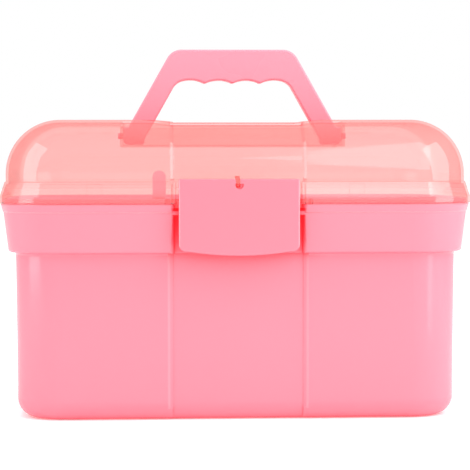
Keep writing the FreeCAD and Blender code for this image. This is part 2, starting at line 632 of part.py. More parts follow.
    # handle recess
    sk = outline(new_sketch(body, "XY_Plane", d.recess_floor_z),
                 [(-d.recess_x, d.recess_front_y, size(3.0)), (d.recess_x, d.recess_front_y, size(3.0)),
                  (d.recess_x, d.recess_back_y, size(6.0)), (-d.recess_x, d.recess_back_y, size(6.0))])
    extrude(body, "Pocket", sk, size(40.0), reverse=True, what="recess")
    sk = circle(new_sketch(body, "YZ_Plane"), d.swing_y, d.swing_z, d.nub_radius + d.nub_fit)
    extrude(body, "Pocket", sk, (d.recess_x + rw + 6.0) * 2, symmetric=True, what="handle bores")
    # lugs for the latch pin
    wall_y = -(d.rim_y - d.dome_in - d.channel_deep)
    feats = []
    for x0, x1 in ((size(24.0), size(32.0)),):
        sk = outline(new_sketch(body, "YZ_Plane", x0),
                     [(wall_y + 0.8, d.latch_pin_z - 5.2), (d.latch_pin_y - 0.3, d.latch_pin_z - d.ear_radius + 0.05),
                      (d.latch_pin_y - 0.3, d.latch_pin_z + d.ear_radius - 0.05), (wall_y + 0.8, d.latch_pin_z + 4.2)])
        feats.append(extrude(body, "Pad", sk, x1 - x0, what="lug web"))
        sk = circle(new_sketch(body, "YZ_Plane", x0), d.latch_pin_y, d.latch_pin_z, d.ear_radius)
        feats.append(extrude(body, "Pad", sk, x1 - x0, what="lug"))
    mirror(body, feats, "YZ_Plane", "lugs")
    # the middle lug is narrow and shows in the keyhole of the latch
    x0 = d.keyhole_x - d.lug_half
    sk = outline(new_sketch(body, "YZ_Plane", x0),
                 [(wall_y + 0.8, d.latch_pin_z - 5.2), (d.latch_pin_y - 0.3, d.latch_pin_z - d.ear_radius + 0.05),
                  (d.latch_pin_y - 1.3, d.latch_pin_z + 2.6), (d.latch_pin_y - 1.3, d.lug_top_z), (wall_y + 0.8, d.lug_top_z)])
    extrude(body, "Pad", sk, d.lug_half * 2, what="middle lug web")
    sk = circle(new_sketch(body, "YZ_Plane", x0), d.latch_pin_y, d.latch_pin_z, d.ear_radius)
    extrude(body, "Pad", sk, d.lug_half * 2, what="middle lug")
    sk = circle(new_sketch(body, "YZ_Plane"), d.latch_pin_y, d.latch_pin_z, d.latch_pin_radius + 0.02)
    extrude(body, "Pocket", sk, size(90.0), symmetric=True, what="lug bores")
    # rear knuckles
    feats = []
    x0, x1 = d.knuckle_in_x, d.knuckle_out_x
    sk = new_sketch(body, "YZ_Plane", x0)
    yw = d.rim_y - 1.0
    outline(sk, [(yw, d.hinge_z + 0.8), (d.hinge_y - d.hinge_radius + 0.2, d.hinge_z + 0.4), (d.hinge_y, d.hinge_z),
                 (d.hinge_y + d.hinge_radius, d.hinge_z + 0.2), (yw + 3.4, d.hinge_z + 5.0),
                 (yw + 1.2, d.hinge_z + d.strap_high), (yw - 1.6, d.hinge_z + d.strap_high)])
    feats.append(extrude(body, "Pad", sk, x1 - x0, what="lid knuckle web"))
    sk = circle(new_sketch(body, "YZ_Plane", x0), d.hinge_y, d.hinge_z, d.hinge_radius)
    feats.append(extrude(body, "Pad", sk, x1 - x0, what="lid knuckle"))
    mirror(body, feats, "YZ_Plane", "lid knuckles")
    sk = circle(new_sketch(body, "YZ_Plane"), d.hinge_y, d.hinge_z, d.hinge_pin_radius + 0.06)
    extrude(body, "Pocket", sk, (d.hinge_out_x + 5.0) * 2, symmetric=True, what="lid knuckle bores")
    return body


def on_plan(e, hx, hy, r):
    """True when the middle of the edge lies on the rounded rectangle hx, hy with corner r."""
    m = e.valueAt((e.FirstParameter + e.LastParameter) / 2.0)
    qx, qy = abs(m.x) - (hx - r), abs(m.y) - (hy - r)
    if qx <= 0 and qy <= 0:
        return False
    if qx > 0 and qy > 0:
        return abs(math.hypot(qx, qy) - r) < 0.15
    return abs(max(qx, qy) - r) < 0.15


# ----------------------------------------------------------------------------
# Carry handle: trapezoid loop with four finger scallops and two pivot nubs
# ----------------------------------------------------------------------------
def make_handle():
    body = new_body("carry_handle")
    p = d.scallop_pitch
    sr = -d.scallop_radius
    # the leg's sloping outer line, aimed at the foot's outer corner at knee height, stops on the foot's shoulder
    part_way = (VALUE["foot_high_z"] - VALUE["leg_knee_z"]) / (VALUE["grip_top_z"] - VALUE["leg_knee_z"])
    shoulder = d.foot_out_x - (d.foot_out_x - d.grip_out_x) * part_way
    pts = [
        (-d.foot_out_x, d.foot_low_z, size(4.0)), (-d.leg_in_x, d.foot_low_z, size(2.6)),
        (-d.leg_in_x, d.leg_in_z, size(4.0)),
        (-d.grip_in_x, d.cusp_z), (p * -1.0, d.cusp_z), (size(0.0), d.cusp_z), (p * 1.0, d.cusp_z),
        (d.grip_in_x, d.cusp_z),
        (d.leg_in_x, d.leg_in_z, size(4.0)), (d.leg_in_x, d.foot_low_z, size(2.6)),
        (d.foot_out_x, d.foot_low_z, size(4.0)), (d.foot_out_x, d.foot_high_z, size(0.8)),
        (shoulder, d.foot_high_z),
        (d.grip_out_x, d.grip_top_z, d.grip_corner), (-d.grip_out_x, d.grip_top_z, d.grip_corner),
        (-shoulder, d.foot_high_z), (-d.foot_out_x, d.foot_high_z, size(0.8)),
    ]
    sk = outline(new_sketch(body, "XZ_Plane", size(0.0) - d.swing_y), pts, {3: sr, 4: sr, 5: sr, 6: sr})
    extrude(body, "Pad", sk, d.grip_half_thick * 2, symmetric=True, what="handle")
    cz = VALUE["cusp_z"]
    fillet(body, 2.2, lambda e: e.BoundBox.YLength > 5 and e.BoundBox.XLength < 0.01 and e.BoundBox.ZLength < 0.01
           and abs(e.BoundBox.ZMin - cz) < 0.05 and abs(e.BoundBox.XMin) < 25.0, "cusps", optional=True)
    fillet(body, d.grip_inner_round, lambda e: e.BoundBox.YLength > 5 and e.BoundBox.XLength < 0.01
           and e.BoundBox.ZLength < 0.01 and abs(e.BoundBox.ZMin - cz) < 0.05 and abs(e.BoundBox.XMin) > 35.0,
           "inner corners of the grip", optional=True)
    half = VALUE["grip_half_thick"]
    fillet(body, d.handle_edge, lambda e: abs(abs(e.BoundBox.YMin) - half) < 0.01 and abs(abs(e.BoundBox.YMax) - half) < 0.01
           and e.BoundBox.YLength < 0.01, "handle edges", optional=True)
    # the feet are round about the pivot, so that they turn clear of the recess floor
    fr = d.foot_turn
    sk = outline(new_sketch(body, "YZ_Plane"),
                 [(d.swing_y - 9.0, d.foot_low_z - 2.0), (d.swing_y + 9.0, d.foot_low_z - 2.0),
                  (d.swing_y + 9.0, d.swing_z), (d.swing_y + fr, d.swing_z), (d.swing_y - fr, d.swing_z),
                  (d.swing_y - 9.0, d.swing_z)], {3: fr * -1.0003})
    extrude(body, "Pocket", sk, d.foot_out_x * 2 + 10.0, symmetric=True, what="round feet")
    sk = circle(new_sketch(body, "YZ_Plane", d.foot_out_x - 3.0), d.swing_y, d.swing_z, d.nub_radius)
    nub = extrude(body, "Pad", sk, d.nub_tip_x - d.foot_out_x + 3.0, what="nub")
    mirror(body, [nub], "YZ_Plane", "nubs")
    return body


# ----------------------------------------------------------------------------
# Front latch: wide plate with side returns, four ears on the pin and a hook rib
# ----------------------------------------------------------------------------
def make_latch():
    body = new_body("front_latch")
    front = -d.latch_front_y
    pts = [(-d.latch_x, d.latch_low_z, d.latch_corner), (d.latch_x, d.latch_low_z, d.latch_corner),
           (d.latch_x, d.latch_top_z, size(1.2)), (-d.latch_x, d.latch_top_z, size(1.2))]
    sk = outline(new_sketch(body, "XZ_Plane", front - d.latch_wall), pts)
    extrude(body, "Pad", sk, d.latch_wall, what="latch plate")
    # belly of the lower edge
    half = d.latch_x - d.latch_corner - 1.0
    sag = VALUE["latch_low_z"] - VALUE["latch_mid_z"]
    chord = 2 * half.value
    belly = (chord * chord / 4.0 + sag * sag) / (2.0 * sag)
    sk = new_sketch(body, "XZ_Plane", front - d.latch_wall)
    outline(sk, [(-half, d.latch_low_z), (half, d.latch_low_z), (half, d.latch_low_z + 3.0), (-half, d.latch_low_z + 3.0)],
            {0: size(belly)})
    extrude(body, "Pad", sk, d.latch_wall, what="latch belly")
    yb = VALUE["latch_front_y"] + VALUE["latch_wall"]
    yf = VALUE["latch_front_y"]
    fillet(body, 1.4, lambda e: abs(e.BoundBox.YMin - yf) < 0.01 and abs(e.BoundBox.YMax - yf) < 0.01,
           "latch front edge", optional=True)
    # side returns
    plate_back = d.latch_front_y + d.latch_wall
    feats = []
    sk = outline(new_sketch(body, "YZ_Plane", d.latch_x - d.latch_side),
                 [(plate_back - 0.6, d.latch_low_z + 6.0), (d.side_deep_y - 1.2, d.latch_low_z + 6.0, size(1.2)),
                  (d.side_deep_y, d.latch_low_z + 14.0), (d.side_deep_y, d.latch_pin_z - 7.0, size(3.0)),
                  (d.latch_pin_y + d.ear_radius, d.latch_pin_z - 1.0, size(2.0)),
                  (d.latch_pin_y + d.ear_radius, d.latch_pin_z + d.ear_radius, d.ear_radius - 0.1),
                  (plate_back - 0.6, d.latch_pin_z + d.ear_radius)])
    feats.append(extrude(body, "Pad", sk, d.latch_side, what="side return"))
    for x0 in (size(34.0), size(14.0)):
        sk = outline(new_sketch(body, "YZ_Plane", x0),
                     [(plate_back - 0.6, d.latch_pin_z - 8.0), (d.latch_pin_y + d.ear_radius, d.latch_pin_z - 2.0, size(2.0)),
                      (d.latch_pin_y + d.ear_radius, d.latch_pin_z + d.ear_radius, d.ear_radius - 0.1),
                      (plate_back - 0.6, d.latch_pin_z + d.ear_radius)])
        feats.append(extrude(body, "Pad", sk, size(2.2), what="ear"))
    mirror(body, feats, "YZ_Plane", "ears")
    # hook rib that reaches under the strike bar
    sk = outline(new_sketch(body, "YZ_Plane"),
                 [(plate_back - 0.6, d.hook_low_z - 2.2), (d.hook_tip_y - 1.4, d.hook_low_z),
                  (d.hook_tip_y, d.hook_low_z + 1.0), (d.hook_tip_y, d.hook_top_z), (plate_back - 0.6, d.hook_top_z)])
    extrude(body, "Pad", sk, d.hook_x * 2, symmetric=True, what="hook")
    # keyhole-shaped notch in the top edge: a blind half-round with a slot above it, which makes
    # way for the middle lug of the lid
    s = d.keyhole_slot * 0.5
    kx, kr, kz = d.keyhole_x, d.keyhole_radius, d.keyhole_round_z
    sk = outline(new_sketch(body, "XZ_Plane", front + 1.0),
                 [(kx - s, d.latch_pin_z - 1.5), (kx + s, d.latch_pin_z - 1.5), (kx + s, d.latch_top_z + 1.0),
                  (kx - s, d.latch_top_z + 1.0)])
    extrude(body, "Pocket", sk, d.latch_wall + 1.6, what="keyhole slot")
    sk = outline(new_sketch(body, "XZ_Plane", front + 1.0),
                 [(-kr, kz), (kr, kz), (kr, d.keyhole_flat_z), (-kr, d.keyhole_flat_z)], {0: kr * 1.0003})
    extrude(body, "Pocket", sk, 1.0 + d.keyhole_deep, what="keyhole round")
    sk = circle(new_sketch(body, "YZ_Plane"), d.latch_pin_y, d.latch_pin_z, d.latch_pin_radius + d.pin_fit)
    extrude(body, "Pocket", sk, d.latch_x * 2 + 4.0, symmetric=True, what="ear bores")
    return body


# ----------------------------------------------------------------------------
# Lift-out tray: tapered walls, front gap behind the latch, ribs and a lift tab
# ----------------------------------------------------------------------------
def make_tray():
    body = new_body("lift_out_tray")
    r0 = d.rim_corner
    tapered(body, "Pad", d.tray_low_z, d.tray_high_z, d.rim_x - d.tray_low_in, d.rim_y - d.tray_low_in,
            r0 - d.tray_low_in, d.tray_low_in - d.tray_high_in, "tray")
    zb = VALUE["tray_low_z"]
    fillet(body, 3.0, flat_at(zb), "tray bottom", optional=True)
    w = d.tray_wall
    tapered(body, "Pocket", d.tray_low_z + d.tray_floor, d.tray_high_z, d.rim_x - d.tray_low_in - w + 0.22,
            d.rim_y - d.tray_low_in - w + 0.22, r0 - d.tray_low_in - w + 0.22,
            d.tray_low_in - d.tray_high_in - 0.22, "tray hollow")
    # front gap
    y_low = -(d.rim_y - d.tray_low_in) + 0.4
    y_high = -(d.rim_y - d.tray_high_in) + 0.4
    gy = d.tray_gap_y + w
    sk = outline(new_sketch(body, "YZ_Plane"),
                 [(y_low + 3.0, d.tray_low_z), (gy, d.tray_low_z), (gy, d.tray_high_z), (y_high, d.tray_high_z),
                  (y_low, d.tray_low_z + 3.0)])
    extrude(body, "Pad", sk, (d.tray_gap_x + w) * 2, symmetric=True, what="tray gap block")
    sk = outline(new_sketch(body, "YZ_Plane"),
                 [(size(-110.0), d.tray_low_z - 2.0), (d.tray_gap_y, d.tray_low_z - 2.0),
                  (d.tray_gap_y, d.tray_high_z + 2.0), (size(-110.0), d.tray_high_z + 2.0)])
    extrude(body, "Pocket", sk, d.tray_gap_x * 2, symmetric=True, what="tray gap")
    # ribs: one long rib and two cross ribs in front of it
    t = d.rib_wall
    yl = d.rim_y - d.tray_low_in - 0.6
    xl = d.rim_x - d.tray_low_in - 0.6
    h = d.rib_top_z - d.tray_low_z
    sk = outline(new_sketch(body, "XY_Plane", d.tray_low_z),
                 [(-xl, d.rib_long_y), (xl, d.rib_long_y), (xl, d.rib_long_y + t), (-xl, d.rib_long_y + t)])
    extrude(body, "Pad", sk, h, what="long rib")
    for side in (-1, 1):
        x = d.rib_cross_x * side
        y0 = -yl
        sk = outline(new_sketch(body, "XY_Plane", d.tray_low_z),
                     [(x - t * 0.5, y0), (x + t * 0.5, y0), (x + t * 0.5, d.rib_long_y + 0.5),
                      (x - t * 0.5, d.rib_long_y + 0.5)])
        extrude(body, "Pad", sk, h, what="cross rib")
    # lift tab
    sk = outline(new_sketch(body, "XZ_Plane", -(d.tab_front_y + d.tab_thick)),
                 [(d.tab_x - d.tab_half, d.tray_low_z + 1.0), (d.tab_x + d.tab_half, d.tray_low_z + 1.0),
                  (d.tab_x + d.tab_half, d.tab_top_z, d.tab_half - 0.1), (d.tab_x - d.tab_half, d.tab_top_z, d.tab_half - 0.1)])
    extrude(body, "Pad", sk, d.tab_thick, what="lift tab")
    return body


# ----------------------------------------------------------------------------
# Pins
# ----------------------------------------------------------------------------
def make_hinge_pin(label, side):
    """Headed pin, pushed in from the outer end. The profile is spun about its own axis."""
    body = new_body(label)
    x_in = d.hinge_in_x + 0.4
    x_out = d.hinge_out_x
    sk = new_sketch(body, "XY_Plane")
    r = d.hinge_pin_radius
    pts = [(x_in, size(0.0)), (x_out + 1.4, size(0.0)), (x_out + 1.4, size(2.3), size(0.7)), (x_out, size(2.3)),
           (x_out, r), (x_in, r, size(0.5))]
    outline(sk, pts)
    f = body.newObject("PartDesign::Revolution", "Revolution")
    f.Profile = sk
    f.ReferenceAxis = (sk, ["H_Axis"])
    f.Angle = 360.0
    body.Tip = f
    settle(f, label)
    turn = FreeCAD.Rotation() if side > 0 else FreeCAD.Rotation(V(0, 0, 1), 180)
    body.Placement = FreeCAD.Placement(V(0, VALUE["hinge_y"], VALUE["hinge_z"]), turn)
    body.setExpression("Placement.Base.y", "Dims.hinge_y")
    body.setExpression("Placement.Base.z", "Dims.hinge_z")
    doc.recompute()
    return body


def make_latch_pin():
    body = new_body("latch_pin")
    half = d.latch_x - 0.5
    sk = new_sketch(body, "XY_Plane")
    r = d.latch_pin_radius
    outline(sk, [(-half, size(0.0)), (half, size(0.0)), (half, r, size(0.4)), (-half, r, size(0.4))])
    f = body.newObject("PartDesign::Revolution", "Revolution")
    f.Profile = sk
    f.ReferenceAxis = (sk, ["H_Axis"])
    f.Angle = 360.0
    body.Tip = f
    settle(f, "latch pin")
    body.Placement = FreeCAD.Placement(V(0, VALUE["latch_pin_y"], VALUE["latch_pin_z"]), FreeCAD.Rotation())
    body.setExpression("Placement.Base.y", "Dims.latch_pin_y")
    body.setExpression("Placement.Base.z", "Dims.latch_pin_z")
    doc.recompute()
    return body


make_box_body()
make_lid()
make_handle()
make_latch()
make_tray()
make_hinge_pin("lid_hinge_pin_right", 1)
make_hinge_pin("lid_hinge_pin_left", -1)
make_latch_pin()

doc.recompute()
for o in doc.Objects:
    if "Invalid" in o.State or "Error" in o.State:
        raise RuntimeError("object %s is in state %s" % (o.Label, o.State))
for label, body in BODIES.items():
    s = body.Shape
    if s.isNull() or not s.isValid():
        raise RuntimeError("shape of %s is null or not valid" % label)
    if len(s.Solids) != 1:
        raise RuntimeError("%s has %d solids" % (label, len(s.Solids)))

os.makedirs("parts", exist_ok=True)
for label, body in BODIES.items():
    body.Shape.exportStep(os.path.join("parts", label + ".step"))
    b = body.Shape.BoundBox
    print("%-22s volume %9.0f  x %7.1f %7.1f  y %7.1f %7.1f  z %7.1f %7.1f"
          % (label, body.Shape.Volume, b.XMin, b.XMax, b.YMin, b.YMax, b.ZMin, b.ZMax))
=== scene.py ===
import math

import bpy
from mathutils import Matrix, Quaternion, Vector

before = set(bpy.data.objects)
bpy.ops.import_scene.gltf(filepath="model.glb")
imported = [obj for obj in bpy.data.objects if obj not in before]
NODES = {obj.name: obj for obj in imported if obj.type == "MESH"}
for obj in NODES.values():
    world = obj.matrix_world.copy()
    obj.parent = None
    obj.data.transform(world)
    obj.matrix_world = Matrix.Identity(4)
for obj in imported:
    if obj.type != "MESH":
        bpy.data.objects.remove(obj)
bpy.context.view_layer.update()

scene = bpy.context.scene

# ----------------------------------------------------------------------------
# Colour management
# ----------------------------------------------------------------------------
scene.view_settings.view_transform = "Standard"
scene.view_settings.look = "None"
scene.view_settings.exposure = 0.0
scene.view_settings.gamma = 1.0
# a line of sight through the lid meets many clear walls one behind the other
scene.cycles.transparent_max_bounces = 40
scene.cycles.max_bounces = 20
scene.cycles.glossy_bounces = 10
scene.cycles.diffuse_bounces = 6


# ----------------------------------------------------------------------------
# Materials
# ----------------------------------------------------------------------------
class Mat:
    def __init__(self, name):
        self.mat = bpy.data.materials.new(name)
        self.mat.use_nodes = True
        self.tree = self.mat.node_tree
        self.tree.nodes.clear()
        self.out = self.add("ShaderNodeOutputMaterial")

    def add(self, kind, **values):
        node = self.tree.nodes.new(kind)
        for key, value in values.items():
            setattr(node, key, value)
        return node

    def link(self, a, b):
        self.tree.links.new(a, b)

    def position(self):
        return self.add("ShaderNodeTexCoord").outputs["Object"]

    def noise(self, scale, detail=3.0, rough=0.5, stretch=None, distortion=0.0):
        node = self.add("ShaderNodeTexNoise")
        node.inputs["Scale"].default_value = scale
        node.inputs["Detail"].default_value = detail
        node.inputs["Roughness"].default_value = rough
        node.inputs["Distortion"].default_value = distortion
        where = self.position()
        if stretch is not None:
            mapping = self.add("ShaderNodeMapping")
            mapping.inputs["Scale"].default_value = stretch
            self.link(where, mapping.inputs["Vector"])
            where = mapping.outputs["Vector"]
        self.link(where, node.inputs["Vector"])
        return node.outputs["Fac"]

    def ramp(self, source, stops):
        node = self.add("ShaderNodeValToRGB")
        band = node.color_ramp
        while len(band.elements) > 1:
            band.elements.remove(band.elements[-1])
        band.elements[0].position = stops[0][0]
        band.elements[0].color = (*stops[0][1], 1.0)
        for at, colour in stops[1:]:
            band.elements.new(at).color = (*colour, 1.0)
        self.link(source, node.inputs["Fac"])
        return node.outputs["Color"]

    def span(self, source, low, high, to_low, to_high):
        node = self.add("ShaderNodeMapRange")
        node.inputs["From Min"].default_value = low
        node.inputs["From Max"].default_value = high
        node.inputs["To Min"].default_value = to_low
        node.inputs["To Max"].default_value = to_high
        self.link(source, node.inputs["Value"])
        return node.outputs["Result"]

    def bump(self, source, distance, strength=1.0, under=None):
        node = self.add("ShaderNodeBump")
        node.inputs["Distance"].default_value = distance
        node.inputs["Strength"].default_value = strength
        self.link(source, node.inputs["Height"])
        if under is not None:
            self.link(under, node.inputs["Normal"])
        return node.outputs["Normal"]

    def rounded(self, radius, samples=4):
        """Normal with the sharp edges of the mould softened over the given radius."""
        node = self.add("ShaderNodeBevel", samples=samples)
        node.inputs["Radius"].default_value = radius
        return node.outputs["Normal"]

    def crevice(self, distance, samples=8, alone=False):
        """0 on open surfaces, towards 1 deep in a gap or a corner. Alone: only the piece's own
        shape counts, for pieces under the clear lid, which shades nothing."""
        node = self.add("ShaderNodeAmbientOcclusion", samples=samples, only_local=alone)
        node.inputs["Distance"].default_value = distance
        return self.maths("SUBTRACT", 1.0, node.outputs["AO"])

    def sharp(self, radius):
        """1 along the sharp edges of the mould, 0 a radius away from them."""
        dot = self.add("ShaderNodeVectorMath", operation="DOT_PRODUCT")
        self.link(self.rounded(radius), dot.inputs[0])
        self.link(self.add("ShaderNodeNewGeometry").outputs["Normal"], dot.inputs[1])
        return self.span(dot.outputs["Value"], 0.80, 0.985, 1.0, 0.0)

    def within(self, low, high):
        """1 inside the given box of the piece, 0 outside."""
        parts = self.add("ShaderNodeSeparateXYZ")
        self.link(self.position(), parts.inputs[0])
        hit = None
        for axis, a, b in zip("XYZ", low, high):
            half, mid = (b - a) / 2.0, (b + a) / 2.0
            away = self.maths("ABSOLUTE", self.maths("SUBTRACT", parts.outputs[axis], mid))
            here = self.maths("LESS_THAN", away, half)
            hit = here if hit is None else self.maths("MULTIPLY", hit, here)
        return hit

    def about(self, low, high, soft):
        """As within, but fading out over the last bit at the sides and at the bottom."""
        parts = self.add("ShaderNodeSeparateXYZ")
        self.link(self.position(), parts.inputs[0])
        mid, half = (high[0] + low[0]) / 2.0, (high[0] - low[0]) / 2.0
        away = self.maths("ABSOLUTE", self.maths("SUBTRACT", parts.outputs["X"], mid))
        sides = self.span(away, half - soft[0], half, 1.0, 0.0)
        foot = self.span(parts.outputs["Z"], low[2], low[2] + soft[1], 0.0, 1.0)
        return self.maths("MULTIPLY", self.within(low, high), self.maths("MULTIPLY", sides, foot))

    def mix(self, amount, a, b, how="MIX"):
        node = self.add("ShaderNodeMix", data_type="RGBA", blend_type=how)
        for k, v in ((0, amount), (6, a), (7, b)):
            if isinstance(v, (int, float)):
                node.inputs[k].default_value = v
            elif isinstance(v, tuple):
                node.inputs[k].default_value = (*v, 1.0)
            else:
                self.link(v, node.inputs[k])
        return node.outputs[2]

    def maths(self, what, a, b=None):
        node = self.add("ShaderNodeMath", operation=what)
        for k, v in enumerate((a, b)):
            if v is None:
                continue
            if isinstance(v, (int, float)):
                node.inputs[k].default_value = v
            else:
                self.link(v, node.inputs[k])
        return node.outputs[0]


def moulded(name, colour, deep, rough=0.26, flow=0.025, edge=0.0008, reach=0.022, alone=False,
            painted_gap_shade_regions=((None, 0.22, 0.85, 1.0),), glow=0.0, painted_edge_highlight=0.0, painted_side_highlight_x=None):
    """Glossy opaque moulded plastic: faint flow marks in the colour, uneven gloss, a fine wave
    left by the mould and a very fine grain. In gaps the colour is painted over with a deep one as
    painted shade, standing in for light that only comes after passing through and off more of the
    same plastic, and a painted glow of emission is added there. Gap shade regions: for each region
    of the piece, how closed in a place is where the painted shade starts and where it is complete,
    and how much of it. Painted highlights lighten the colour along the edges of the mould, and
    from painted_side_highlight_x on at either side."""
    m = Mat(name)
    shader = m.add("ShaderNodeBsdfPrincipled")
    flow_marks = m.noise(9.0, 2.0, 0.45, stretch=(1.0, 1.0, 0.35))
    dark = [c * (1.0 - flow) for c in colour]
    light = [min(1.0, c * (1.0 + flow)) for c in colour]
    skin = m.ramp(flow_marks, [(0.15, dark), (0.5, colour), (0.85, light)])
    highlight_tint = tuple(c + (1.0 - c) * 0.35 for c in colour)
    across = m.add("ShaderNodeSeparateXYZ")
    m.link(m.position(), across.inputs[0])
    aside = m.maths("ABSOLUTE", across.outputs["X"])
    # painted highlight along the sharp edges of the mould, away from the middle strip round the latch
    if painted_edge_highlight:
        painted_edge_light = m.maths("MULTIPLY", m.sharp(0.0014), m.span(aside, 0.0455, 0.0465, 0.0, painted_edge_highlight))
        skin = m.mix(painted_edge_light, skin, highlight_tint)
        # the leaning sides of the front panel: a painted highlight along the ridge and painted shade in the faint
        # valley
        front = m.within((-0.060, -0.105, 0.008), (0.060, -0.060, 0.1150))
        painted_ridge_highlight = m.span(m.maths("ABSOLUTE", m.maths("SUBTRACT", aside, 0.0479)), 0.0003, 0.0013, 0.15, 0.0)
        painted_valley_shade = m.span(m.maths("ABSOLUTE", m.maths("SUBTRACT", aside, 0.0443)), 0.0003, 0.0018, 0.03, 0.0)
        skin = m.mix(m.maths("MULTIPLY", front, painted_ridge_highlight), skin, highlight_tint)
        skin = m.mix(m.maths("MULTIPLY", front, painted_valley_shade), skin, deep)
    # painted highlight down both sides, from the given x outwards
    if painted_side_highlight_x is not None:
        skin = m.mix(m.span(aside, painted_side_highlight_x, painted_side_highlight_x + 0.0007, 0.0, 0.4), skin, highlight_tint)
    # painted shade: the colour turns deep red where occlusion finds the piece closed in
    closed = m.crevice(reach, alone=alone)
    painted_gap_shade = None
    for region, start, full, amount in painted_gap_shade_regions:
        here = m.span(closed, start, full, 0.0, amount)
        if region is not None:
            here = m.maths("MULTIPLY", here, m.about(*region, (0.012, 0.030)))
        painted_gap_shade = here if painted_gap_shade is None else m.maths("MAXIMUM", painted_gap_shade, here)
    m.link(m.mix(painted_gap_shade, skin, deep), shader.inputs["Base Color"])
    # painted glow: emission in the gaps that stands in for light coming through the plastic
    if glow:
        shader.inputs["Emission Color"].default_value = (1.0, 0.02, 0.03, 1.0)
        m.link(m.maths("MULTIPLY", m.maths("POWER", painted_gap_shade, 2.0), glow), shader.inputs["Emission Strength"])
    gloss = m.noise(26.0, 2.0, 0.5)
    m.link(m.span(gloss, 0.0, 1.0, rough * 0.86, rough * 1.14), shader.inputs["Roughness"])
    shader.inputs["IOR"].default_value = 1.49
    # the milky skin mirrors less at a slant than clear plastic does
    facing = m.add("ShaderNodeLayerWeight")
    facing.inputs["Blend"].default_value = 0.5
    mirror = m.span(facing.outputs["Facing"], 0.35, 0.85, 0.5, 0.06)
    m.link(m.maths("MULTIPLY", mirror, m.maths("SUBTRACT", 1.0, painted_gap_shade)), shader.inputs["Specular IOR Level"])
    wave = m.bump(m.noise(9.0, 0.0, 0.4), 0.0008, 0.3, under=m.rounded(edge))
    grain = m.bump(m.noise(900.0, 2.0, 0.5), 0.00004, 0.5, under=wave)
    m.link(grain, shader.inputs["Normal"])
    m.link(shader.outputs["BSDF"], m.out.inputs["Surface"])
    return m.mat


